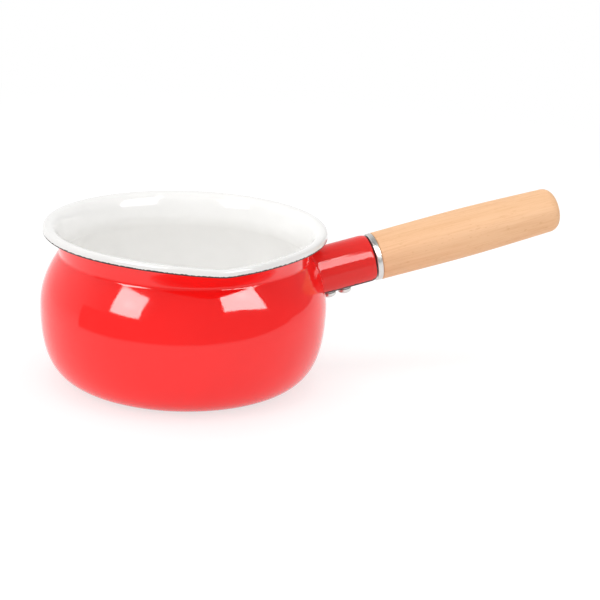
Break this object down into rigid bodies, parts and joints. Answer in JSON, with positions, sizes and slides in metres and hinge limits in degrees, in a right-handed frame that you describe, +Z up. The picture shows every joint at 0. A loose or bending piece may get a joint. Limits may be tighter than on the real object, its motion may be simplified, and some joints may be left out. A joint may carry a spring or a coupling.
{
  "type": "enamel saucepan",
  "caption": "Round-bellied enamelled steel milk pan with a flared, turned-down lip, one pouring lip beside the handle and a turned wooden grip screwed into a slotted, upward-tilted socket.",
  "frame": {"origin": "middle of the flat base, on the plane that the pan stands on", "axes": "+Z up through the pan's mouth, +X along the handle, pouring lip along -Y"},
  "size_m": [0.3051, 0.1695, 0.1019],
  "materials": {
    "enamel": "glossy vitreous enamel, red outside and white inside the pan, dark bare edges",
    "polished_steel": "polished stainless steel",
    "plain_steel": "zinc plated steel",
    "pale_wood": "satin lacquered pale beech"
  },
  "bodies": {
    "root": {"pan_body": "enamel", "handle_socket": "enamel", "nut_bar": "plain_steel", "handle_bracket": "plain_steel", "front_screw": "polished_steel", "rear_screw": "polished_steel", "front_lock_washer": "plain_steel", "rear_lock_washer": "plain_steel", "ferrule_cap": "polished_steel", "wooden_grip": "pale_wood", "grip_screw": "plain_steel"}
  },
  "joints": []
}
